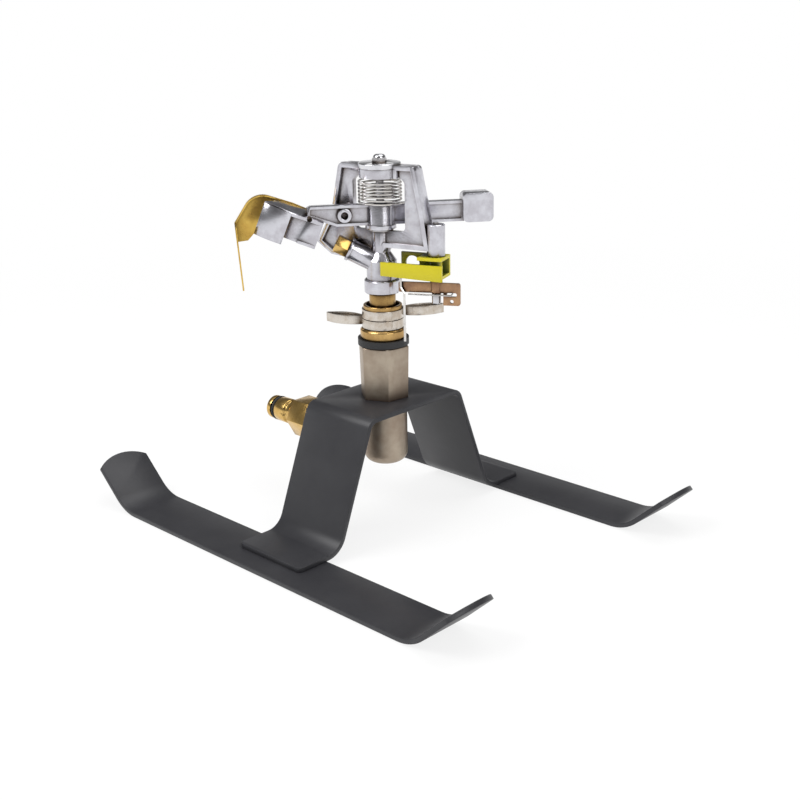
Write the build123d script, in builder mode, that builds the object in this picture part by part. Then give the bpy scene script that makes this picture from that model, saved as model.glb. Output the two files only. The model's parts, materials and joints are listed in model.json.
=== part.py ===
"""Sled base sprinkler: a part circle impact head on a welded steel sled base.

Millimetres, +Z up. The origin is on the ground under the head's turning axis. X runs along the
runners and the hose inlet faces -X. The head is drawn in frames that share that axis, each turned
by its own angle from X: along is a frame's x, across its y.
"""

import os
from math import atan2, cos, degrees, radians, sin, tan

from build123d import *

os.makedirs("parts", exist_ok=True)

# Clearances
turning_gap = 0.05
thread_gap = 0.05
seat_gap = 0.3

# Sled base, bent and welded from one thickness of flat steel
sheet = 3
runner_width = 35
runner_centre = 94
runner_flat = 125
tip_angle = 43
tip_length = 32.5
tip_crown = 6
tip_bend = 24
bridge_width = 53.5
bridge_height = 79
bridge_half_top = 39
bridge_foot = 68.5
foot_end = 98
top_bend = 5
foot_bend = 15
foot_corner = 3
weld_leg = 2.4
weld_length = 44

# Inlet under the bridge and the hexagon that clamps it from above
thread_radius = 10.3
inlet_radius = 13.5
inlet_bottom = 37
inlet_round = 6
stub_top = 92
water_radius = 7.6
arm_height = 48
inlet_arm_radius = 10.5
inlet_arm_end = 57
inlet_thread_end = 69
hex_flats = 26.4
hex_draft = 1.2
hex_top = 112
hex_turn = -36

# Push-on hose connector along -X
connector_flats = 24
connector_hex_start = 58
connector_hex_end = 78
connector_flange_radius = 9.2
connector_flange_end = 81.5
connector_waist_radius = 7
connector_waist_start = 84
connector_waist_end = 87.5
connector_barrel_radius = 8.2
connector_barrel_end = 97.4
oring_seat_radius = 6.3
oring_radius = connector_barrel_radius
oring_seat_end = 101.6
connector_nose_radius = 7.8
connector_end = 106
connector_bore = 4.6
gasket_thickness = 2

# Bearing that lets the head turn
seal_radius = 15.4
seal_top = 116
nipple_bottom = 99
nipple_flange_radius = 13.8
nipple_flange_top = 122.3
sleeve_radius = 11.7
sleeve_top = 136.3
cup_radius = 10
cup_floor = 124
stem_radius = 6
stem_bore = 4.2
stem_flange_radius = 9
stem_flange_thickness = 1.8
washer_radius = 9.4
washer_thickness = 1.1
neck_radius = 7.9
neck_bottom = 129.5
bearing_wire = 0.6
bearing_coil_radius = 7.15
bearing_turns = 3

# Friction collars that set the arc
collar_sheet = 0.8
collar_height = 5.4
collar_gap = 0.4
wing_reach = 36
wing_start = 13.2
wing_bow = 4.6
wing_tip = 1.5
wing_slot = 0.9
upper_wing_angle = 56
lower_wing_angle = 201

# Cast head: collar, column, nozzle tube, yoke and post
head_angle = 44.4
yoke_angle = head_angle - 30
base_radius = 10.6
base_bottom = 143.4
base_height = 8.4
base_top = base_bottom + base_height
column_radius = 9
column_height = 11.2
column_top = base_top + column_height
boss_radius = 5.4
boss_height = 17.8
boss_top = column_top + boss_height
tube_angle = 27
tube_radius = 6.3
tube_length = 21.5
tube_rise = 8.2
tube_height = base_top + tube_rise
tube_bore = 4.5
yoke_half_top = 25
yoke_half_mid = 31
yoke_mid = 190
yoke_bottom = 171.5
yoke_left = 42
yoke_left_low = 32
yoke_left_bottom = 164.5
yoke_right = 34
yoke_web = 4
yoke_flange = 2.6
yoke_depth = 9.5
window_half = 17.4
window_round = 3
yoke_round = 3
top_boss_radius = 12
top_boss_bottom = 211.6
top_boss_height = 5.2
top_boss_top = top_boss_bottom + top_boss_height
yoke_rim = 2.2
yoke_top = top_boss_top + yoke_rim
window_rise = 1.7
window_top = top_boss_bottom + window_rise
cap_radius = 12.5
cap_thickness = 3.2
cap_top = top_boss_top + cap_thickness
post_reach = 36.4
post_radius = 5.3
post_top = 186.8
post_bottom = 168.8
fulcrum_radius = 2.4
fulcrum_bottom = 167
nut_flats = 7.6
nut_height = 4.6
nut_top = cap_top + nut_height
nozzle_flats = 9.8
nozzle_length = 8.4
nozzle_shank = 7
nozzle_bore = 2.1

# Impact arm, which swings on the fulcrum pin
arm_angle = head_angle + 8
hub_radius = 8.3
arm_washer_radius = 7.5
arm_washer_thickness = 0.8
hub_bottom = 181.9
hub_top = 196.5
hub_flange_radius = 9.1
hub_flange_top = 184.2
bush_radius = 4
bush_top = 197.4
bar_bottom = 184.2
bar_top = 196.3
bar_web = 3
bar_depth = 6
bar_rim = 1.6
bar_end = 49
weight_start = 48
weight_end = 66
weight_bottom = 183.8
weight_top = 200.8
weight_depth = 12
weight_round = 3
rail_turn = 26
rail_end = 43
spoon_angle = 22
spoon_roll = 11
spoon_start = 34
spoon_front = 7.5
spoon_height = 186.6
roof_length = 35.6
roof_corner = 25
roof_width = 15.9
vane_sheet = 1.8
inner_vane_front = 1.5
inner_vane_back = 5.5
inner_vane_drop = 15.5
outer_vane_start = 19.4
outer_vane_drop = 19
outer_vane_bow = 2.2
outer_vane_turn = 5
lip_length = 11
lip_width = 7
bumper_reach = 21.4
bumper_height = 190.3
bumper_radius = 4.1
bumper_bore = 2.1
bumper_front = 3.6
bumper_back = 10.5
spring_radius = 12.35
spring_wire = 0.62
spring_bottom = 197
spring_top = 210.4
spring_turns = 7
spring_hook_drop = 2.4
spring_knuckle = 0.7
spring_eye = 2

# Brass deflector that tilts on the arm
deflector_sheet = 0.9
deflector_back = 9.8
deflector_width = 16
hood_width = 3
pivot_reach = 42
pivot_height = 189.5
pivot_radius = 1.5
pivot_head_radius = 2.6
pivot_head_height = 1
pivot_ear_radius = 3.6
strap_start = (-50, 197.1)
hood_start = (-60, 200.7)
hood_corner = (-72.8, 205.2)
hood_bend = 12
tail_start = (-84.7, 187.1)
tail_end = (-82.3, 149.8)
cheek_low = (-83.1, 175.7)
cheek_lip = (-77.3, 176.3)
cheek_inside = ((-74.5, 179.3), (-66, 189), (-61, 198.9), (-56.5, 198.3), (-50, 193), (-44.5, 187))

# Trip mechanism on the post's pin
trip_pin_radius = 1.5
trip_pin_head_radius = 2.7
trip_pin_bottom = 140.4
trip_pin_shoulder = 146.6
trip_pin_top = 188
lever_angle = head_angle - 23
lever_bottom = 156
lever_heel_bottom = 154.6
lever_front_top = 164
lever_top = 168.3
lever_wall = 1.8
lever_front = 7.4
lever_back = 7.3
lever_tip = 32
lever_heel = 6
lever_back_reach = 24
lever_plate_reach = 9
lever_hub_radius = 3.6
lever_arch = 4.4
lever_arch_reach = 17
lever_arch_height = 162
pawl_angle = head_angle - 14
pawl_bottom = 147
pawl_top = 153
pawl_sheet = 1.6
pawl_front = 2.4
pawl_reach = 22
pawl_hub_radius = 3.6
pawl_plate_start = 4.5
pawl_plate_end = 14.5
pawl_plate_bottom = 139.8
pawl_hole = 1.1
pawl_hole_height = 142.2
pawl_slot_height = 146.2
wire_radius = 0.7
wire_top = 160
wire_bottom = 117.6
wire_reach = 17.5
wire_jog = 2.1
wire_jog_top = 150
wire_jog_bottom = 146.5
trip_spring_wire = 0.5
trip_spring_front = 4.2

def turned(angle):
    """A frame on the head's axis at ground level, turned by an angle from X."""
    return Plane(origin=(0, 0, 0), x_dir=(cos(radians(angle)), sin(radians(angle)), 0), z_dir=(0, 0, 1))


def moved(frame, along, across=0):
    """The same frame with its axis moved to a point given along and across it."""
    return Plane(origin=frame.from_local_coords((along, across, 0)), x_dir=frame.x_dir, z_dir=(0, 0, 1))


def pivoted(angle, place):
    """A frame turned by an angle from X whose axis runs through another frame's axis."""
    return Plane(origin=place.origin, x_dir=turned(angle).x_dir, z_dir=(0, 0, 1))


def upright(frame, across=0):
    """A standing sketch plane: x runs along the frame, y is up and the normal is -across."""
    return Plane(origin=frame.from_local_coords((0, across, 0)), x_dir=frame.x_dir, z_dir=-frame.y_dir)


def rod(frame, bottom, top, radius):
    """Adds a cylinder that stands on the frame's axis."""
    with Locations(frame.offset(bottom)):
        Cylinder(radius, top - bottom, align=(Align.CENTER, Align.CENTER, Align.MIN))


def drill(frame, bottom, top, radius):
    """Cuts an upright hole on the frame's axis."""
    with Locations(frame.offset(bottom)):
        Cylinder(radius, top - bottom, align=(Align.CENTER, Align.CENTER, Align.MIN), mode=Mode.SUBTRACT)


def tube(frame, bottom, top, outer, inner):
    """Adds a cylinder and bores it."""
    rod(frame, bottom, top, outer)
    drill(frame, bottom, top, inner)


ground = Plane.XY
head = turned(head_angle)
yoke = turned(yoke_angle)
arm = turned(arm_angle)
post = moved(yoke, post_reach)
lever = pivoted(lever_angle, post)
pawl = pivoted(pawl_angle, post)
spring_end = moved(ground, spring_radius)
spring_hook = moved(arm, spring_radius / cos(radians(arm_angle)))

# Runners: flat strips whose ends turn up and finish in a crowned edge
lean = radians(tip_angle)
tip_x = runner_flat + (tip_length + tip_crown) * cos(lean)
tip_z = sheet + (tip_length + tip_crown) * sin(lean)
under_corner = runner_flat + sheet * tan(lean / 2)
under_tip = (tip_x + sheet * sin(lean), tip_z - sheet * cos(lean))
crown_radius = ((runner_width / 2) ** 2 + tip_crown**2) / (2 * tip_crown)

for runner_name, side in (("runner_near", -1), ("runner_far", 1)):
    with BuildPart() as runner:
        with BuildSketch(Plane.XZ.offset(-side * runner_centre)):
            with BuildLine():
                underside = FilletPolyline(
                    (-under_tip[0], under_tip[1]),
                    (-under_corner, 0),
                    (under_corner, 0),
                    under_tip,
                    radius=tip_bend + sheet,
                )
                offset(underside, amount=sheet, side=Side.LEFT)
            make_face()
        extrude(amount=runner_width / 2, both=True)
        for end in (-1, 1):
            chord = (
                end * (runner_flat + tip_length * cos(lean)),
                side * runner_centre,
                sheet + tip_length * sin(lean),
            )
            tip_plane = Plane(origin=chord, x_dir=(0, 1, 0), z_dir=(sin(lean), 0, -end * cos(lean)))
            with BuildSketch(tip_plane):
                Rectangle(2 * runner_width, 2 * tip_crown, align=(Align.CENTER, Align.MIN))
                with Locations((0, tip_crown - crown_radius)):
                    Circle(crown_radius, mode=Mode.SUBTRACT)
            extrude(amount=2 * sheet, both=True, mode=Mode.SUBTRACT)
    runner.part.label = runner_name
    export_step(runner.part, f"parts/{runner_name}.step")

# Bridge: one strip bent over both runners, with a hole for the inlet's thread
leg_lean = atan2(bridge_height - sheet, bridge_foot - bridge_half_top)
inner_top = bridge_half_top - sheet * tan(leg_lean / 2)
inner_foot = inner_top + (bridge_height - 2 * sheet) / tan(leg_lean)
bridge_points = (
    (-foot_end, sheet),
    (-inner_foot, sheet),
    (-inner_top, bridge_height - sheet),
    (inner_top, bridge_height - sheet),
    (inner_foot, sheet),
    (foot_end, sheet),
)

with BuildPart() as bridge:
    with BuildSketch(Plane.YZ):
        with BuildLine():
            inside = FilletPolyline(*bridge_points, radius=(foot_bend, top_bend, top_bend, foot_bend))
            offset(inside, amount=sheet, side=Side.LEFT)
        make_face()
    extrude(amount=bridge_width / 2, both=True)
    fillet(bridge.edges().filter_by(Axis.Z), foot_corner)
    drill(ground, bridge_height - 2 * sheet, bridge_height + sheet, thread_radius + seat_gap)
bridge.part.label = "bridge"
export_step(bridge.part, "parts/bridge.step")

# Welds: a bead under each foot, in the corner with the runner's inner edge
runner_edge = runner_centre - runner_width / 2

with BuildPart() as welds:
    for side in (-1, 1):
        with BuildSketch(Plane.YZ):
            Polygon(
                (side * runner_edge, sheet),
                (side * runner_edge, sheet - weld_leg),
                (side * (runner_edge - weld_leg), sheet),
                align=None,
            )
            foot_bend_centre = inner_foot + foot_bend * tan(leg_lean / 2)
            with Locations((side * foot_bend_centre, sheet + foot_bend)):
                Circle(foot_bend, mode=Mode.SUBTRACT)
        extrude(amount=weld_length / 2, both=True)
welds.part.label = "leg_welds"
export_step(welds.part, "parts/leg_welds.step")

# Inlet body under the bridge: a round chamber with a threaded stub above and an arm to the hose
with BuildPart() as inlet:
    rod(ground, inlet_bottom, bridge_height - sheet, inlet_radius)
    fillet(inlet.edges().filter_by(GeomType.CIRCLE).sort_by(Axis.Z)[0], inlet_round)
    rod(ground, bridge_height - sheet, stub_top, thread_radius)
    with BuildSketch(Plane.YZ):
        with Locations((0, arm_height)):
            Circle(inlet_arm_radius)
    extrude(amount=-inlet_arm_end)
    with BuildSketch(Plane.YZ.offset(-inlet_arm_end)):
        with Locations((0, arm_height)):
            Circle(thread_radius - 1)
    extrude(amount=inlet_arm_end - inlet_thread_end)
    drill(ground, arm_height - water_radius, stub_top, water_radius)
    with BuildSketch(Plane.YZ):
        with Locations((0, arm_height)):
            Circle(water_radius)
    extrude(amount=-inlet_thread_end, mode=Mode.SUBTRACT)
inlet.part.label = "inlet_body"
export_step(inlet.part, "parts/inlet_body.step")

# Hexagon above the bridge: screws onto the stub and clamps the bridge
with BuildPart() as hexagon:
    with BuildSketch(turned(hex_turn).offset(bridge_height)):
        RegularPolygon(hex_flats / 2, 6, major_radius=False)
    extrude(amount=hex_top - bridge_height, taper=-hex_draft)
    chamfer(hexagon.faces().sort_by(Axis.Z)[-1].edges(), 1)
    drill(ground, bridge_height, hex_top, thread_radius + thread_gap)
hexagon.part.label = "inlet_hexagon"
export_step(hexagon.part, "parts/inlet_hexagon.step")

# Hose connector: a turned profile for the coupling's claws and a hexagon that screws on the arm
socket_end = inlet_thread_end + gasket_thickness

with BuildPart() as connector:
    with BuildSketch(Plane.YZ.offset(-connector_hex_start)):
        with Locations((0, arm_height)):
            RegularPolygon(connector_flats / 2, 6, major_radius=False)
    extrude(amount=connector_hex_start - connector_hex_end)
    with BuildSketch(Plane.XZ):
        with BuildLine():
            Polyline(
                (-connector_hex_end, arm_height),
                (-connector_hex_end, arm_height + connector_flange_radius),
                (-connector_flange_end, arm_height + connector_flange_radius),
                (-connector_waist_start, arm_height + connector_waist_radius),
                (-connector_waist_end, arm_height + connector_waist_radius),
                (-connector_waist_end - 1, arm_height + connector_barrel_radius),
                (-connector_barrel_end, arm_height + connector_barrel_radius),
                (-connector_barrel_end, arm_height + oring_seat_radius),
                (-oring_seat_end, arm_height + oring_seat_radius),
                (-oring_seat_end, arm_height + connector_nose_radius),
                (-connector_end + 1.2, arm_height + connector_nose_radius),
                (-connector_end, arm_height + connector_nose_radius - 1.2),
                (-connector_end, arm_height),
                close=True,
            )
        make_face()
    revolve(axis=Axis((0, 0, arm_height), (1, 0, 0)))
    with BuildSketch(Plane.YZ.offset(-connector_hex_start)):
        with Locations((0, arm_height)):
            Circle(thread_radius - 1 + thread_gap)
    extrude(amount=connector_hex_start - socket_end, mode=Mode.SUBTRACT)
    with BuildSketch(Plane.YZ.offset(-connector_hex_start)):
        with Locations((0, arm_height)):
            Circle(connector_bore)
    extrude(amount=connector_hex_start - connector_end, mode=Mode.SUBTRACT)
connector.part.label = "hose_connector"
export_step(connector.part, "parts/hose_connector.step")

with BuildPart() as gasket:
    with BuildSketch(Plane.YZ.offset(-inlet_thread_end)):
        with Locations((0, arm_height)):
            Circle(thread_radius - 1)
            Circle(water_radius - 1, mode=Mode.SUBTRACT)
    extrude(amount=-gasket_thickness)
gasket.part.label = "connector_gasket"
export_step(gasket.part, "parts/connector_gasket.step")

oring_wire = (oring_radius - oring_seat_radius) / 2
oring_centre = (connector_barrel_end + oring_seat_end) / 2

with BuildPart() as oring:
    with BuildSketch(Plane.XZ):
        with Locations((-oring_centre, arm_height + oring_seat_radius + oring_wire)):
            Circle(oring_wire)
    revolve(axis=Axis((0, 0, arm_height), (1, 0, 0)))
oring.part.label = "connector_o_ring"
export_step(oring.part, "parts/connector_o_ring.step")

# Bearing nipple: screws into the hexagon, seals on a rubber ring and carries the two collars
with BuildPart() as seal:
    tube(ground, hex_top, seal_top, seal_radius, thread_radius + thread_gap)
    fillet(seal.edges().filter_by(GeomType.CIRCLE).sort_by(Axis.Z)[-1], 0.8)
seal.part.label = "nipple_seal"
export_step(seal.part, "parts/nipple_seal.step")

with BuildPart() as nipple:
    rod(ground, nipple_bottom, seal_top, thread_radius)
    rod(ground, seal_top, nipple_flange_top, nipple_flange_radius)
    chamfer(nipple.edges().filter_by(GeomType.CIRCLE).sort_by(Axis.Z)[-1], 1.2)
    rod(ground, nipple_flange_top, sleeve_top, sleeve_radius)
    fillet(nipple.edges().filter_by(GeomType.CIRCLE).sort_by(Axis.Z)[-1], 0.6)
    drill(ground, cup_floor, sleeve_top, cup_radius)
    drill(ground, nipple_bottom, cup_floor, stem_radius + turning_gap)
nipple.part.label = "bearing_nipple"
export_step(nipple.part, "parts/bearing_nipple.step")

for washer_name, level in (("bearing_washer_rubber", 1), ("bearing_washer_nylon", 2)):
    with BuildPart() as washer:
        washer_bottom = nipple_bottom - level * washer_thickness
        tube(ground, washer_bottom, washer_bottom + washer_thickness, washer_radius, stem_radius + turning_gap)
    washer.part.label = washer_name
    export_step(washer.part, f"parts/{washer_name}.step")

stem_bottom = nipple_bottom - 2 * washer_thickness - stem_flange_thickness
stem_top = base_top - 1

with BuildPart() as stem:
    rod(ground, stem_bottom, stem_bottom + stem_flange_thickness, stem_flange_radius)
    rod(ground, stem_bottom + stem_flange_thickness, stem_top, stem_radius)
    drill(ground, stem_bottom, stem_top, stem_bore)
stem.part.label = "stem_tube"
export_step(stem.part, "parts/stem_tube.step")

with BuildPart() as neck:
    tube(ground, neck_bottom, base_bottom, neck_radius, stem_radius + turning_gap)
    chamfer(neck.edges().filter_by(GeomType.CIRCLE).sort_by(Axis.Z)[0], 0.4)
neck.part.label = "neck_sleeve"
export_step(neck.part, "parts/neck_sleeve.step")

bearing_spring_bottom = cup_floor + bearing_wire + 0.02
bearing_spring_height = neck_bottom - cup_floor - 2 * bearing_wire - 0.04

with BuildPart() as bearing_spring:
    with BuildLine(ground.offset(bearing_spring_bottom)) as bearing_coil:
        Helix(bearing_spring_height / bearing_turns, bearing_spring_height, bearing_coil_radius)
    with BuildSketch(Plane(origin=bearing_coil.line @ 0, z_dir=bearing_coil.line % 0)):
        RegularPolygon(bearing_wire, 6)
    sweep(is_frenet=True)
bearing_spring.part.label = "bearing_spring"
export_step(bearing_spring.part, "parts/bearing_spring.step")

# Friction collars: a spring strip round the sleeve whose two ends form a leaf-shaped wing
collar_bore = sleeve_radius + turning_gap
collar_lower = nipple_flange_top + collar_gap
collar_upper = collar_lower + collar_height + collar_gap

for collar_name, bottom, angle in (
    ("collar_lower", collar_lower, lower_wing_angle),
    ("collar_upper", collar_upper, upper_wing_angle),
):
    with BuildPart() as collar:
        with BuildSketch(turned(angle).offset(bottom)):
            with BuildLine():
                wing_side = ThreePointArc(
                    (wing_start, wing_slot / 2 + collar_sheet),
                    ((wing_start + wing_reach) / 2, wing_bow),
                    (wing_reach, wing_tip),
                )
                wing_end = ThreePointArc((wing_reach, wing_tip), (wing_reach + wing_tip, 0), (wing_reach, -wing_tip))
                mirror(wing_side, about=Plane.XZ)
                Line(wing_side @ 0, (wing_start, -wing_slot / 2 - collar_sheet))
            make_face()
            offset(amount=-collar_sheet, mode=Mode.SUBTRACT)
            Circle(collar_bore + collar_sheet)
            with Locations((wing_start - collar_sheet, 0)):
                Rectangle(2 * collar_sheet + 1, wing_slot + 2 * collar_sheet)
                Rectangle(6 * collar_sheet, wing_slot, mode=Mode.SUBTRACT)
            Circle(collar_bore, mode=Mode.SUBTRACT)
        extrude(amount=collar_height)
    collar.part.label = collar_name
    export_step(collar.part, f"parts/{collar_name}.step")

# Cast head: everything that turns hangs on it
yoke_outline = (
    (-yoke_half_top, yoke_top),
    (yoke_half_top, yoke_top),
    (yoke_half_mid, yoke_mid),
    (yoke_right, yoke_bottom),
    (boss_radius, yoke_bottom),
    (0, yoke_left_bottom - 3),
    (-yoke_left_low, yoke_left_bottom),
    (-yoke_left, yoke_bottom),
    (-yoke_half_mid, yoke_mid),
)
tube_direction = head.from_local_coords((-cos(radians(tube_angle)), 0, sin(radians(tube_angle))))
tube_plane = Plane(origin=(0, 0, tube_height), x_dir=-head.y_dir, z_dir=tube_direction)
tube_end = tube_plane.offset(tube_length)

with BuildPart() as body:
    rod(ground, base_bottom, base_top, base_radius)
    chamfer(body.edges().filter_by(GeomType.CIRCLE), 0.7)
    rod(ground, base_top, column_top, column_radius)
    with BuildSketch(ground.offset(column_top)):
        Circle(column_radius)
    with BuildSketch(ground.offset(column_top + 5)):
        Circle(boss_radius)
    loft()
    rod(ground, column_top, boss_top, boss_radius)
    with BuildSketch(tube_plane):
        Circle(tube_radius)
    extrude(amount=tube_length)
    with BuildSketch(tube_end.offset(-1.6)):
        Circle(tube_radius + 0.6)
    extrude(amount=1.6)
    with BuildSketch(upright(yoke)):
        Polygon(*yoke_outline, align=None)
    extrude(amount=yoke_web / 2, both=True)
    with BuildSketch(upright(yoke)) as rim:
        Polygon(*yoke_outline, align=None)
        fillet(rim.vertices().group_by(Axis.Y)[-1], yoke_round)
        offset(amount=-yoke_flange, kind=Kind.INTERSECTION, mode=Mode.SUBTRACT)
    extrude(amount=yoke_depth / 2, both=True)
    rod(ground, top_boss_top, yoke_top, top_boss_radius)
    rod(post, post_bottom, post_top, post_radius)
    chamfer(body.edges(Select.LAST).filter_by(GeomType.CIRCLE).sort_by(Axis.Z)[-1], 0.5)
    with BuildSketch(upright(yoke)) as window:
        Polygon(
            (-window_half, boss_top),
            (window_half, boss_top),
            (window_half, top_boss_bottom - 2),
            (top_boss_radius, window_top),
            (-top_boss_radius, window_top),
            (-window_half, top_boss_bottom - 2),
            align=None,
        )
        fillet(window.vertices(), window_round)
    extrude(amount=yoke_depth, both=True, mode=Mode.SUBTRACT)
    rod(ground, top_boss_bottom, top_boss_top, top_boss_radius)
    rod(spring_end, top_boss_bottom, top_boss_top, spring_eye)
    drill(spring_end, top_boss_bottom, top_boss_top, spring_wire + turning_gap)
    drill(ground, top_boss_top, yoke_top + 1, cap_radius + seat_gap)
    drill(ground, fulcrum_bottom, yoke_top, fulcrum_radius + turning_gap)
    drill(ground, base_bottom, stem_top, stem_radius + turning_gap)
    drill(ground, stem_top, tube_height, stem_bore)
    with BuildSketch(tube_plane):
        Circle(tube_bore)
    extrude(amount=tube_length, mode=Mode.SUBTRACT)
    drill(post, post_bottom, post_top, trip_pin_radius + turning_gap)
body.part.label = "sprinkler_body"
export_step(body.part, "parts/sprinkler_body.step")

# Nozzle: a brass hexagon screwed into the tube
with BuildPart() as nozzle:
    with BuildSketch(tube_end):
        RegularPolygon(nozzle_flats / 2, 6, major_radius=False)
    extrude(amount=nozzle_length)
    chamfer(nozzle.edges().filter_by(Axis.Z, reverse=True).sort_by(Axis(tube_end.origin, tube_end.z_dir))[-6:], 0.6)
    with BuildSketch(tube_end):
        Circle(tube_bore - thread_gap)
    extrude(amount=-nozzle_shank)
    with BuildSketch(tube_end.offset(-nozzle_shank)):
        Circle(nozzle_bore)
    extrude(amount=nozzle_shank + nozzle_length, mode=Mode.SUBTRACT)
nozzle.part.label = "nozzle"
export_step(nozzle.part, "parts/nozzle.step")

# Fulcrum pin with its cap plate and domed nut
with BuildPart() as fulcrum:
    rod(ground, fulcrum_bottom, nut_top - 2, fulcrum_radius)
fulcrum.part.label = "fulcrum_pin"
export_step(fulcrum.part, "parts/fulcrum_pin.step")

with BuildPart() as arm_washer:
    tube(ground, boss_top, boss_top + arm_washer_thickness, arm_washer_radius, fulcrum_radius + turning_gap)
arm_washer.part.label = "arm_washer"
export_step(arm_washer.part, "parts/arm_washer.step")

with BuildPart() as cap:
    tube(ground, top_boss_top, cap_top, cap_radius, fulcrum_radius + turning_gap)
    fillet(cap.edges().filter_by(GeomType.CIRCLE).sort_by(SortBy.RADIUS)[-2:], 0.6)
cap.part.label = "cap_plate"
export_step(cap.part, "parts/cap_plate.step")

with BuildPart() as nut:
    with BuildSketch(ground.offset(cap_top)):
        RegularPolygon(nut_flats / 2, 6, major_radius=False)
    extrude(amount=2.2)
    rod(ground, cap_top + 2.2, nut_top, nut_flats / 2)
    fillet(nut.edges().filter_by(GeomType.CIRCLE).sort_by(Axis.Z)[-1], nut_top - cap_top - 2.3)
    drill(ground, cap_top, nut_top - 2, fulcrum_radius + thread_gap)
nut.part.label = "cap_nut"
export_step(nut.part, "parts/cap_nut.step")

# Impact arm casting: hub, channel bars, counterweight and the spoon that the jet strikes
spoon_lean = radians(spoon_angle)
spoon = Plane(
    origin=arm.from_local_coords((-spoon_start, -spoon_front, spoon_height)),
    x_dir=arm.from_local_coords((-cos(spoon_lean), 0, sin(spoon_lean))),
    z_dir=arm.from_local_coords((sin(spoon_lean), 0, cos(spoon_lean))),
)
roof_normal = spoon.z_dir * cos(radians(spoon_roll)) + spoon.y_dir * sin(radians(spoon_roll))
roof = Plane(origin=spoon.origin, x_dir=spoon.x_dir, z_dir=roof_normal)
arm_outline = (
    (0, bar_bottom),
    (bar_end, bar_bottom),
    (bar_end, bar_top),
    (2 - rail_end, bar_top),
    (-rail_end, bar_top - 1),
    (-rail_end, pivot_height + 0.5),
    (-rail_end + 4, pivot_height - 0.5),
    (-rail_turn, bar_bottom),
)

with BuildPart() as arm_casting:
    rod(ground, hub_bottom, hub_top, hub_radius)
    rod(ground, hub_bottom, hub_flange_top, hub_flange_radius)
    with BuildSketch(upright(arm)):
        Polygon(*arm_outline, align=None)
    extrude(amount=bar_web / 2, both=True)
    with BuildSketch(upright(arm)):
        Polygon(*arm_outline, align=None)
        offset(amount=-bar_rim, kind=Kind.INTERSECTION, mode=Mode.SUBTRACT)
    extrude(amount=bar_depth / 2, both=True)
    with BuildSketch(upright(arm)):
        with Locations(((weight_start + weight_end) / 2, (weight_bottom + weight_top) / 2)):
            RectangleRounded(weight_end - weight_start, weight_top - weight_bottom, weight_round)
    extrude(amount=weight_depth / 2, both=True)
    with BuildSketch(roof):
        Polygon(
            (0, -inner_vane_front),
            (outer_vane_start, 0),
            (roof_length, -outer_vane_turn),
            (roof_corner, -roof_width),
            (0, -roof_width),
            align=None,
        )
    extrude(amount=-vane_sheet)
    with BuildSketch(spoon):
        Polygon(
            (0, -inner_vane_front),
            (outer_vane_start, -inner_vane_back),
            (outer_vane_start, -inner_vane_back - vane_sheet),
            (0, -inner_vane_front - vane_sheet),
            align=None,
        )
    extrude(amount=-inner_vane_drop)
    with BuildSketch(spoon):
        with BuildLine():
            vane_face = ThreePointArc(
                (outer_vane_start, 0),
                ((outer_vane_start + roof_length) / 2, outer_vane_bow - outer_vane_turn / 2),
                (roof_length, -outer_vane_turn),
            )
            offset(vane_face, amount=vane_sheet, side=Side.RIGHT)
        make_face()
    extrude(amount=-outer_vane_drop)
    with BuildSketch(spoon.offset(-inner_vane_drop)):
        with Locations((0, -inner_vane_front)):
            Rectangle(lip_length, lip_width, align=(Align.MIN, Align.MAX))
    extrude(amount=vane_sheet)
    with BuildSketch(upright(arm, deflector_back - deflector_sheet - seat_gap)):
        with Locations((-pivot_reach, pivot_height)):
            Circle(pivot_ear_radius)
    extrude(amount=deflector_back - deflector_sheet - seat_gap)
    with BuildSketch(upright(arm)):
        with Locations((-pivot_reach, pivot_height)):
            Circle(pivot_radius + turning_gap)
        with Locations((-bumper_reach, bumper_height)):
            Circle(bumper_radius + thread_gap)
    extrude(amount=deflector_back, both=True, mode=Mode.SUBTRACT)
    drill(ground, hub_bottom, hub_top, bush_radius + thread_gap)
    drill(spring_hook, hub_top - 4, hub_top, spring_wire + thread_gap)
arm_casting.part.label = "impact_arm"
export_step(arm_casting.part, "parts/impact_arm.step")

with BuildPart() as bush:
    tube(ground, hub_bottom, bush_top, bush_radius, fulcrum_radius + turning_gap)
bush.part.label = "arm_bush"
export_step(bush.part, "parts/arm_bush.step")

with BuildPart() as bumper:
    with BuildSketch(upright(arm, -bumper_front)):
        with Locations((-bumper_reach, bumper_height)):
            Circle(bumper_radius)
            Circle(bumper_bore, mode=Mode.SUBTRACT)
    extrude(amount=-bumper_front - bumper_back)
bumper.part.label = "arm_bumper"
export_step(bumper.part, "parts/arm_bumper.step")

# Arm spring: its lower leg hooks into the arm and its upper leg into the eye on the yoke
coil_height = spring_top - spring_bottom

with BuildPart() as arm_spring:
    with BuildLine(ground.offset(spring_bottom)) as arm_coil:
        Helix(coil_height / spring_turns, coil_height, spring_radius, lefthand=True)
    with BuildSketch(Plane(origin=arm_coil.line @ 0, z_dir=arm_coil.line % 0)):
        RegularPolygon(spring_wire, 6)
    sweep(is_frenet=True)
    with Locations(spring_end.offset(spring_bottom), spring_end.offset(spring_top), spring_hook.offset(spring_bottom)):
        Sphere(spring_knuckle)
    with BuildSketch(Plane(origin=arm_coil.line @ 0, z_dir=(0, 1, 0))):
        Circle(spring_wire)
    extrude(amount=spring_radius * tan(radians(arm_angle)))
    rod(spring_hook, spring_bottom - spring_hook_drop, spring_bottom, spring_wire)
    rod(spring_end, spring_top, spring_top + 2 * spring_hook_drop, spring_wire)
arm_spring.part.label = "arm_spring"
export_step(arm_spring.part, "parts/arm_spring.step")

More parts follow.
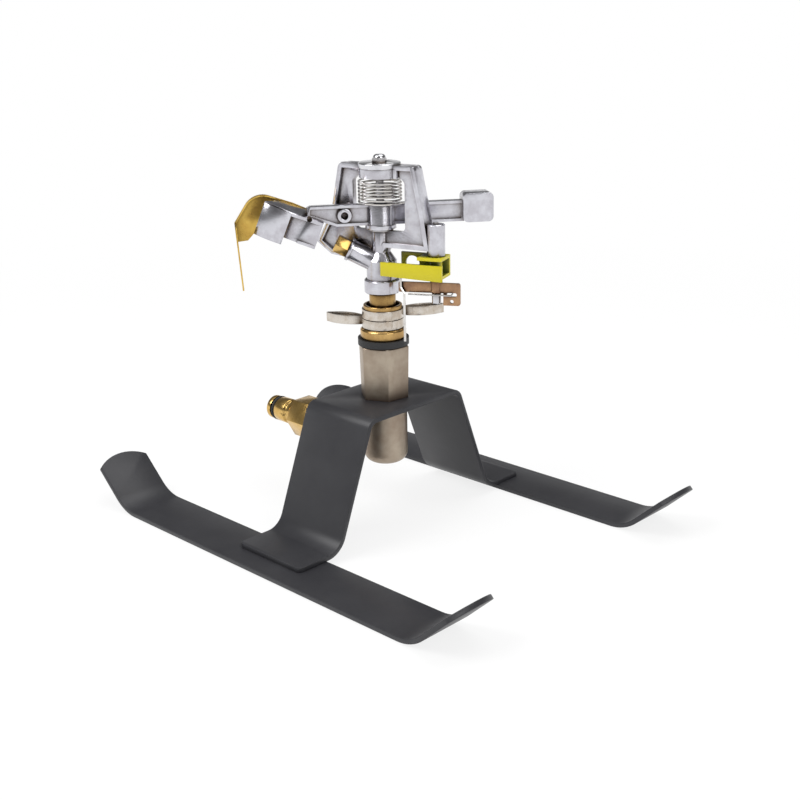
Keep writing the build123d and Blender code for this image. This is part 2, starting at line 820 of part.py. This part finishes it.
# Deflector: bent brass sheet with a hood strip, a tail plate and one cheek on the far side
with BuildPart() as deflector:
    with BuildSketch(upright(arm, deflector_back)):
        with BuildLine():
            crest = FilletPolyline(hood_start, hood_corner, tail_start, radius=hood_bend)
            offset(crest, amount=deflector_sheet, side=Side.LEFT)
        make_face()
    extrude(amount=hood_width)
    with BuildSketch(upright(arm, deflector_back)):
        with BuildLine():
            tail = Line(tail_start, tail_end)
            offset(tail, amount=deflector_sheet, side=Side.LEFT)
        make_face()
    extrude(amount=deflector_width)
    with BuildSketch(upright(arm, deflector_back)):
        with BuildLine():
            FilletPolyline(strap_start, hood_corner, tail_start, radius=hood_bend)
            Polyline(tail_start, cheek_low, cheek_lip, *cheek_inside, strap_start)
        make_face()
        with Locations((-pivot_reach, pivot_height)):
            Circle(pivot_ear_radius)
        Polygon(strap_start, cheek_inside[-2], cheek_inside[-1], (-pivot_reach + 2, pivot_height + 3), align=None)
        with Locations((-pivot_reach, pivot_height)):
            Circle(pivot_radius + turning_gap, mode=Mode.SUBTRACT)
    extrude(amount=deflector_sheet)
deflector.part.label = "deflector"
export_step(deflector.part, "parts/deflector.step")

with BuildPart() as pivot:
    with BuildSketch(upright(arm, deflector_back + pivot_head_height)):
        with Locations((-pivot_reach, pivot_height)):
            Circle(pivot_head_radius)
    extrude(amount=pivot_head_height - turning_gap)
    with BuildSketch(upright(arm, deflector_back + pivot_head_height)):
        with Locations((-pivot_reach, pivot_height)):
            Circle(pivot_radius)
    extrude(amount=deflector_back + pivot_head_height)
pivot.part.label = "deflector_pivot"
export_step(pivot.part, "parts/deflector_pivot.step")

# Trip mechanism: a pin through the post carries the plastic lever and the brass pawl
with BuildPart() as trip_pin:
    rod(post, trip_pin_bottom, trip_pin_shoulder, trip_pin_head_radius)
    chamfer(trip_pin.edges().filter_by(GeomType.CIRCLE), 0.4)
    rod(post, trip_pin_shoulder, trip_pin_top, trip_pin_radius)
trip_pin.part.label = "trip_pin"
export_step(trip_pin.part, "parts/trip_pin.step")

with BuildPart() as trip_lever:
    with BuildSketch(upright(lever, -lever_front)):
        Polygon(
            (-lever_tip, lever_front_top),
            (lever_heel, lever_front_top),
            (lever_heel, lever_heel_bottom),
            (-lever_tip, lever_bottom),
            align=None,
        )
    extrude(amount=-lever_wall)
    with BuildSketch(upright(lever, lever_back)):
        Polygon(
            (-lever_back_reach, lever_bottom),
            (lever_heel, lever_bottom),
            (lever_heel, lever_top),
            (-lever_back_reach, lever_top),
            align=None,
        )
        with Locations((-lever_arch_reach, lever_arch_height)):
            Circle(lever_arch, mode=Mode.SUBTRACT)
    extrude(amount=lever_wall)
    with BuildSketch(lever.offset(lever_top)):
        Polygon(
            (-lever_plate_reach, -lever_front),
            (lever_heel, -lever_front),
            (lever_heel, lever_back),
            (-lever_plate_reach, lever_back),
            align=None,
        )
    extrude(amount=-lever_wall)
    with BuildSketch(lever.offset(lever_bottom)):
        Polygon(
            (-lever_back_reach, lever_wall - lever_front),
            (lever_heel, lever_wall - lever_front),
            (lever_heel, lever_back),
            (-lever_back_reach, lever_back),
            align=None,
        )
    extrude(amount=lever_wall)
    rod(lever, lever_bottom, lever_top, lever_hub_radius)
    drill(lever, lever_bottom, lever_top, trip_pin_radius + turning_gap)
    drill(moved(lever, -wire_reach - wire_jog, lever_wall / 2 - lever_front), lever_bottom - 2, wire_top, wire_radius)
trip_lever.part.label = "trip_lever"
export_step(trip_lever.part, "parts/trip_lever.step")

with BuildPart() as trip_wire:
    with BuildLine(upright(lever, lever_wall / 2 - lever_front)) as bent_wire:
        Polyline(
            (-wire_reach - wire_jog, wire_top),
            (-wire_reach - wire_jog, wire_jog_top),
            (-wire_reach, wire_jog_bottom),
            (-wire_reach, wire_bottom),
        )
    with BuildSketch(Plane(origin=bent_wire.line @ 0, z_dir=bent_wire.line % 0)):
        RegularPolygon(wire_radius, 6)
    sweep(transition=Transition.RIGHT)
trip_wire.part.label = "trip_wire"
export_step(trip_wire.part, "parts/trip_wire.step")

with BuildPart() as reversing_pawl:
    with BuildSketch(upright(pawl, -pawl_front)) as strip:
        Polygon(
            (-pawl_reach, pawl_bottom),
            (pawl_plate_start, pawl_bottom),
            (pawl_plate_start, pawl_plate_bottom),
            (pawl_plate_end, pawl_plate_bottom),
            (pawl_plate_end, pawl_top),
            (-pawl_reach, pawl_top),
            align=None,
        )
        fillet(strip.vertices().group_by(Axis.X)[-1], 1.4)
        fillet(strip.vertices().group_by(Axis.X)[0], 1)
        with Locations(((pawl_plate_start + pawl_plate_end) / 2, pawl_hole_height)):
            Circle(pawl_hole, mode=Mode.SUBTRACT)
        with Locations(((pawl_plate_start + pawl_plate_end) / 2, pawl_slot_height)):
            SlotOverall(6, 2 * pawl_hole, mode=Mode.SUBTRACT)
    extrude(amount=-pawl_sheet)
    rod(pawl, pawl_bottom, lever_bottom - seat_gap, pawl_hub_radius)
    drill(pawl, pawl_bottom, lever_bottom, trip_pin_radius + turning_gap)
reversing_pawl.part.label = "reversing_pawl"
export_step(reversing_pawl.part, "parts/reversing_pawl.step")

with BuildPart() as trip_spring:
    with BuildLine(pawl.offset(pawl_slot_height)) as spring_line:
        Polyline(
            (-pawl_reach + 6, -pawl_front - 1.1),
            (-pawl_hub_radius, -trip_spring_front),
            ((pawl_plate_start + pawl_plate_end) / 2, -trip_spring_front),
            ((pawl_plate_start + pawl_plate_end) / 2, -pawl_front + 2 * pawl_sheet),
        )
    with BuildSketch(Plane(origin=spring_line.line @ 0, z_dir=spring_line.line % 0)):
        RegularPolygon(trip_spring_wire, 6)
    sweep(transition=Transition.RIGHT)
trip_spring.part.label = "trip_spring"
export_step(trip_spring.part, "parts/trip_spring.step")
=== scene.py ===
"""Looks for the sled base sprinkler: finishes, rounded edges, floor and light."""

import json
from math import cos, radians, sin

import bpy
from mathutils import Matrix, Vector


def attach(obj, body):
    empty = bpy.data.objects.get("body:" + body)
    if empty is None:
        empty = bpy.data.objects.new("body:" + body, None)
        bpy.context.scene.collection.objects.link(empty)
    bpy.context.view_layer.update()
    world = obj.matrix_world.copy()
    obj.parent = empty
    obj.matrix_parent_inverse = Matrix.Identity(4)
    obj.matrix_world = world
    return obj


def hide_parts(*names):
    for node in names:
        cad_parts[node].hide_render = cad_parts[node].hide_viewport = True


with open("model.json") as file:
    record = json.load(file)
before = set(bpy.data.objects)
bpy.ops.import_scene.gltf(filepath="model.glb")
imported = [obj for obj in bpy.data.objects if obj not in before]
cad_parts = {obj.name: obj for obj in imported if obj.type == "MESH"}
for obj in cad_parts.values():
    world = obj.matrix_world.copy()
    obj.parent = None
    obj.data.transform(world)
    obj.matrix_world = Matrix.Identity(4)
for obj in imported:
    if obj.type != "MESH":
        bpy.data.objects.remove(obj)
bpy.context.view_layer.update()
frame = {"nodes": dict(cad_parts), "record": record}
mm = 0.001


# Camera: fitted to the straight edges of the runners and the bridge

camera_place = (0.50244, -0.50191, 0.31465)
azimuth = radians(44.435)
elevation = radians(18.623)
roll = radians(-1.16)

back = Vector((sin(azimuth) * cos(elevation), -cos(azimuth) * cos(elevation), sin(elevation)))
level = back.cross(Vector((0, 0, 1))).normalized() * -1
rise = back.cross(level)
right = level * cos(roll) + rise * sin(roll)
up = rise * cos(roll) - level * sin(roll)
turn = Matrix((right, up, back)).transposed().to_4x4()

bpy.ops.object.select_all(action="DESELECT")
bpy.ops.object.camera_add()
camera = bpy.context.object
camera.matrix_world = Matrix.Translation(camera_place) @ turn
camera.data.lens = 55.03
camera.data.sensor_width = 36
camera.data.shift_x = 0.00375
camera.data.clip_start = 0.01
bpy.context.scene.camera = camera


# Shader nodes


class Value:
    """A shader socket that Python's operators work on."""

    def __init__(self, shading, socket):
        self.shading = shading
        self.socket = socket

    def combine(self, operation, first, second):
        return self.shading.add("ShaderNodeMath", {"operation": operation}, {0: first, 1: second})

    def __radd__(self, other):
        return self.combine("ADD", other, self)

    def __mul__(self, other):
        return self.combine("MULTIPLY", self, other)

    def __rmul__(self, other):
        return self.combine("MULTIPLY", other, self)


class Shading:
    """The nodes of one material, or of the world."""

    def __init__(self, tree):
        self.tree = tree
        self.path = None

    def put(self, socket, value):
        if isinstance(value, Value):
            self.tree.links.new(value.socket, socket)
        else:
            socket.default_value = value

    def add(self, kind, settings=None, values=None, output=0):
        node = self.tree.nodes.new(kind)
        for name, value in (settings or {}).items():
            setattr(node, name, value)
        for name, value in (values or {}).items():
            self.put(node.inputs[name], value)
        return Value(self, node.outputs[output])

    def colour(self, factor, first, second):
        node = self.tree.nodes.new("ShaderNodeMix")
        node.data_type = "RGBA"
        self.put(node.inputs["Factor"], factor)
        self.put(node.inputs[6], first if isinstance(first, Value) else (*first, 1))
        self.put(node.inputs[7], second if isinstance(second, Value) else (*second, 1))
        return Value(self, node.outputs[2])

    def ray(self, name):
        """One for the rays of one kind."""
        if self.path is None:
            self.path = self.tree.nodes.new("ShaderNodeLightPath")
        return Value(self, self.path.outputs[name])

    def looked_at(self):
        """One for the rays that the camera or a shiny face sends out."""
        rays = {0: self.ray("Is Camera Ray"), 1: self.ray("Is Glossy Ray")}
        return self.add("ShaderNodeMath", {"operation": "MAXIMUM"}, rays)


class Finish(Shading):
    """One material, built on the Principled shader."""

    def __init__(self, name, metallic=0.0, roughness=0.5):
        self.material = bpy.data.materials.new(name)
        self.material.use_nodes = True
        super().__init__(self.material.node_tree)
        self.shader = self.tree.nodes["Principled BSDF"]
        self.set("Metallic", metallic)
        self.set("Roughness", roughness)
        self.place = self.add("ShaderNodeTexCoord", output="Object")

    def set(self, name, value):
        self.put(self.shader.inputs[name], value)

    def ramp(self, value, low, high, start=0.0):
        limits = {"Value": value, "From Min": low, "From Max": high, "To Min": start}
        return self.add("ShaderNodeMapRange", None, limits)

    def noise(self, scale, detail, roughness):
        shape = {"Vector": self.place, "Scale": scale, "Detail": detail, "Roughness": roughness}
        return self.add("ShaderNodeTexNoise", None, shape)

    def painted_shade(self, distance, low, high):
        """Painted shade from ambient occlusion: nought in a deep corner, rising to one on an open face.
        """
        light = self.add("ShaderNodeAmbientOcclusion", {"samples": 8}, {"Distance": distance}, "AO")
        return self.ramp(light, low, high)

    def bump(self, height, strength, distance):
        shape = {"Height": height, "Strength": strength, "Distance": distance}
        self.set("Normal", self.add("ShaderNodeBump", None, shape))


# Finishes


def painted_steel():
    """Satin black paint with a slight orange peel."""
    finish = Finish("painted_steel")
    cloud = finish.ramp(finish.noise(scale=38, detail=4, roughness=0.6), low=0.35, high=0.7)
    finish.set("Base Color", finish.colour(cloud, (0.026, 0.026, 0.030), (0.034, 0.034, 0.038)))
    finish.set("Roughness", 0.36 + 0.12 * finish.noise(scale=70, detail=5, roughness=0.65))
    finish.set("Specular IOR Level", 0.4)
    peel = finish.noise(scale=900, detail=2, roughness=0.5)
    finish.bump(peel, strength=0.06, distance=0.0004)
    return finish.material


def cast_bronze():
    """Dull bronze with the grain of its sand mould."""
    finish = Finish("cast_bronze", metallic=0.9)
    patch = finish.ramp(finish.noise(scale=55, detail=4, roughness=0.6), low=0.38, high=0.66)
    shade = finish.colour(patch, (0.33, 0.26, 0.20), (0.46, 0.39, 0.31))
    # Painted shade: the base colour darkens to dark brown in corners and recesses.
    shade_mask = finish.painted_shade(distance=0.006, low=0.3, high=0.9)
    finish.set("Base Color", finish.colour(shade_mask, (0.12, 0.08, 0.06), shade))
    finish.set("Roughness", 0.34 + 0.2 * finish.noise(scale=160, detail=4, roughness=0.6))
    sand = finish.noise(scale=1400, detail=3, roughness=0.6)
    finish.bump(sand, strength=0.25, distance=0.0003)
    return finish.material


# Painted shade in corners: a share of the metal's dark tone, plus a small tint.
painted_shade_share = (0.13, 0.11, 0.09)
painted_shade_tint = (0.02, 0.01, 0)


def metal(name, light, dark, roughness, grain=1800, depth=0.08, shade_reach=0.007):
    """Bare or plated metal, patchy, with painted shade darkening its corners."""
    finish = Finish(name, metallic=1.0)
    patch = finish.ramp(finish.noise(scale=120, detail=3, roughness=0.6), low=0.4, high=0.62)
    shade = finish.colour(0.6 * patch, light, dark)
    painted_shade_colour = [part * share + tint for part, share, tint in zip(dark, painted_shade_share, painted_shade_tint)]
    # Painted shade: ambient occlusion over this reach darkens the base colour in corners and gaps.
    shade_mask = finish.painted_shade(shade_reach, low=0.45, high=0.98)
    finish.set("Base Color", finish.colour(shade_mask, painted_shade_colour, shade))
    finish.set("Roughness", roughness + 0.1 * finish.noise(scale=grain / 6, detail=3, roughness=0.5))
    finish.bump(finish.noise(scale=grain, detail=2, roughness=0.5), depth, distance=0.0002)
    return finish.material


def plain(name, light, dark, roughness, hollow_shade=None):
    """Plastic or rubber, with painted shade of a darker colour where it is hollow."""
    finish = Finish(name)
    shade = finish.colour(finish.noise(scale=200, detail=3, roughness=0.5), light, dark)
    if hollow_shade:
        # Painted shade: ambient occlusion lays the hollow colour into deep corners.
        shade_mask = finish.painted_shade(distance=0.012, low=0.45, high=0.88)
        shade = finish.colour(shade_mask, hollow_shade, shade)
    finish.set("Base Color", shade)
    finish.set("Roughness", roughness + 0.1 * finish.noise(scale=400, detail=2, roughness=0.5))
    skin = finish.noise(scale=1600, detail=2, roughness=0.5)
    finish.bump(skin, strength=0.08, distance=0.0002)
    return finish.material


slot_finishes = {
    "painted_steel": painted_steel(),
    "nickel_bronze": cast_bronze(),
    "brass": metal("machined_brass", (0.74, 0.49, 0.17), (0.52, 0.31, 0.08), roughness=0.16),
    "brass_sheet": metal("sheet_brass", (0.74, 0.50, 0.12), (0.50, 0.29, 0.06), roughness=0.24),
    "copper_brass": metal("pawl_bronze", (0.48, 0.29, 0.16), (0.22, 0.12, 0.09), roughness=0.24),
    "cast_zinc": metal(
        "cast_zinc", (0.66, 0.66, 0.71), (0.46, 0.44, 0.48), roughness=0.16, grain=900, depth=0.12
    ),
    "plated_steel": metal("bright_plate", (0.76, 0.76, 0.79), (0.56, 0.56, 0.59), roughness=0.12),
    # Painted shade between the coils of the spring wire, over a short reach.
    "spring_steel": metal(
        "spring_wire", (0.78, 0.76, 0.74), (0.52, 0.49, 0.46), roughness=0.2, shade_reach=0.002
    ),
    "black_rubber": plain("black_rubber", (0.012, 0.012, 0.013), (0.022, 0.022, 0.024), roughness=0.5),
    "nylon": plain("nylon", (0.75, 0.74, 0.69), (0.68, 0.67, 0.62), roughness=0.4),
    "bearing_bush": plain("bush_plastic", (0.10, 0.10, 0.11), (0.07, 0.07, 0.08), roughness=0.4),
    "yellow_plastic": plain(
        "yellow_plastic",
        (0.60, 0.52, 0.004),
        (0.52, 0.45, 0.004),
        roughness=0.32,
        # Painted shade: dark green inside the hollow of the yellow plastic.
        hollow_shade=(0.06, 0.075, 0.004),
    ),
}

aged_brass = metal("aged_brass", (0.60, 0.39, 0.15), (0.36, 0.21, 0.08), roughness=0.2)
worn_plate = metal("worn_plate", (0.66, 0.61, 0.55), (0.40, 0.31, 0.22), roughness=0.18)
own_finishes = {
    "neck_sleeve": aged_brass,
    "bearing_nipple": aged_brass,
    "collar_lower": worn_plate,
    "collar_upper": worn_plate,
}

slots = {part["node"]: part["material_slot"] for part in frame["record"]["subparts"]}
bodies = {node: body for body, nodes in frame["record"]["behaviour"]["bodies"].items() for node in nodes}


def dress(piece, node):
    """Gives a piece the finish of its node, or else of its slot."""
    piece.data.materials.clear()
    piece.data.materials.append(own_finishes.get(node, slot_finishes[slots[node]]))


# Edges: each rigid piece gets the small radius, in mm, that its making leaves

edge_radius = {
    "runner_near": 0.45,
    "runner_far": 0.45,
    "bridge": 0.45,
    "inlet_body": 0.5,
    "inlet_hexagon": 0.5,
    "sprinkler_body": 0.35,
    "impact_arm": 0.3,
    "trip_lever": 0.25,
    "hose_connector": 0.2,
    "bearing_nipple": 0.2,
    "nozzle": 0.2,
    "neck_sleeve": 0.2,
    "reversing_pawl": 0.15,
    "deflector": 0.12,
    "collar_lower": 0.12,
    "collar_upper": 0.12,
    "arm_bumper": 0.3,
    "cap_nut": 0.2,
    "cap_plate": 0.2,
}
weld_distance = 0.000002
flat_angle = radians(1)
sharp_angle = radians(32)
smooth_angle = radians(35)


def softened(node, radius):
    """A copy of a solid with its sharp edges rounded."""
    source = frame["nodes"][node]
    piece = source.copy()
    piece.data = source.data.copy()
    piece.name = node + "_edged"
    for key in list(piece.keys()):
        del piece[key]
    piece.parent = None
    piece.matrix_world = Matrix.Identity(4)
    bpy.context.scene.collection.objects.link(piece)
    bpy.ops.object.select_all(action="DESELECT")
    piece.select_set(True)
    bpy.context.view_layer.objects.active = piece
    if piece.data.has_custom_normals:
        bpy.ops.mesh.customdata_custom_splitnormals_clear()
    bpy.ops.object.mode_set(mode="EDIT")
    bpy.ops.mesh.select_all(action="SELECT")
    bpy.ops.mesh.remove_doubles(threshold=weld_distance)
    bpy.ops.mesh.dissolve_limited(angle_limit=flat_angle)
    bpy.ops.object.mode_set(mode="OBJECT")
    bevel = piece.modifiers.new("edges", "BEVEL")
    bevel.width = radius * mm
    bevel.segments = 2
    bevel.limit_method = "ANGLE"
    bevel.angle_limit = sharp_angle
    bpy.ops.object.modifier_apply(modifier="edges")
    bpy.ops.object.shade_smooth_by_angle(angle=smooth_angle)
    dress(piece, node)
    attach(piece, bodies[node])
    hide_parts(node)


for node, solid in frame["nodes"].items():
    if node in edge_radius:
        softened(node, edge_radius[node])
    else:
        dress(solid, node)


# Floor: white paper that shows a faint shadow near the object and none far off

floor_size = 60
floor_drop = 0.0002
shadow_start = 0.3
shadow_end = 0.9
paper_share = 0.82

bpy.ops.object.select_all(action="DESELECT")
bpy.ops.mesh.primitive_plane_add(size=floor_size, location=(0, 0, -floor_drop))
floor = bpy.context.object
floor.name = "floor"
ground = Finish("pale_floor", roughness=0.9)
ground.set("Base Color", (0.9, 0.9, 0.9, 1))
away = ground.add("ShaderNodeVectorMath", {"operation": "LENGTH"}, {0: ground.place}, "Value")
share = ground.looked_at() * ground.ramp(away, shadow_start, shadow_end, start=paper_share)
paper = ground.add("ShaderNodeEmission", None, {"Strength": 1.0})
plain_ground = Value(ground, ground.shader.outputs[0])
shown = ground.add("ShaderNodeMixShader", None, {0: share, 1: plain_ground, 2: paper})
ground.put(ground.tree.nodes["Material Output"].inputs["Surface"], shown)
floor.data.materials.append(ground.material)


# World: white to the camera, a soft light, and a tent that is darker overhead in reflections

white = (1, 1, 1, 1)
soft_light = 0.55
tent_levels = ((0.10, 0.95), (0.20, 0.20), (0.62, 0.12), (0.80, 0.30), (0.95, 0.9))

world = bpy.data.worlds.new("studio")
bpy.context.scene.world = world
world.use_nodes = True
world.node_tree.nodes.clear()
sky = Shading(world.node_tree)
direction = sky.add("ShaderNodeTexCoord", output="Generated")
height = sky.add("ShaderNodeSeparateXYZ", None, {0: direction}, "Z")
tent = sky.add("ShaderNodeValToRGB", None, {0: height})
stops = tent.socket.node.color_ramp.elements
for stop in stops:
    stop.color = white
for place, brightness in tent_levels:
    stops.new(place).color = (brightness, brightness, brightness, 1)
backdrop = sky.colour(sky.ray("Is Camera Ray"), tent, white[:3])
light = sky.add("ShaderNodeBackground", None, {"Color": white, "Strength": soft_light})
seen = sky.add("ShaderNodeBackground", None, {"Color": backdrop, "Strength": 1.0})
mixed = sky.add("ShaderNodeMixShader", None, {0: sky.looked_at(), 1: light, 2: seen})
output = sky.tree.nodes.new("ShaderNodeOutputWorld")
sky.put(output.inputs["Surface"], mixed)


# Lamps

lamp_target = Vector((0, 0, 0.1))


def softbox(name, place, size, power):
    """A square lamp that faces the object."""
    bpy.ops.object.light_add(type="AREA", location=place)
    lamp = bpy.context.object
    lamp.name = name
    lamp.data.shape = "RECTANGLE"
    lamp.data.size = size
    lamp.data.size_y = size
    lamp.data.energy = power
    lamp.rotation_euler = (lamp_target - Vector(place)).to_track_quat("-Z", "Y").to_euler()


softbox("key_light", (-0.5, -1.0, 1.3), size=0.9, power=16)
softbox("fill_light", (1.3, -0.2, 0.9), size=0.8, power=7)
softbox("top_light", (0.1, 0.5, 1.6), size=1.0, power=8)

bpy.context.scene.view_settings.view_transform = "Standard"
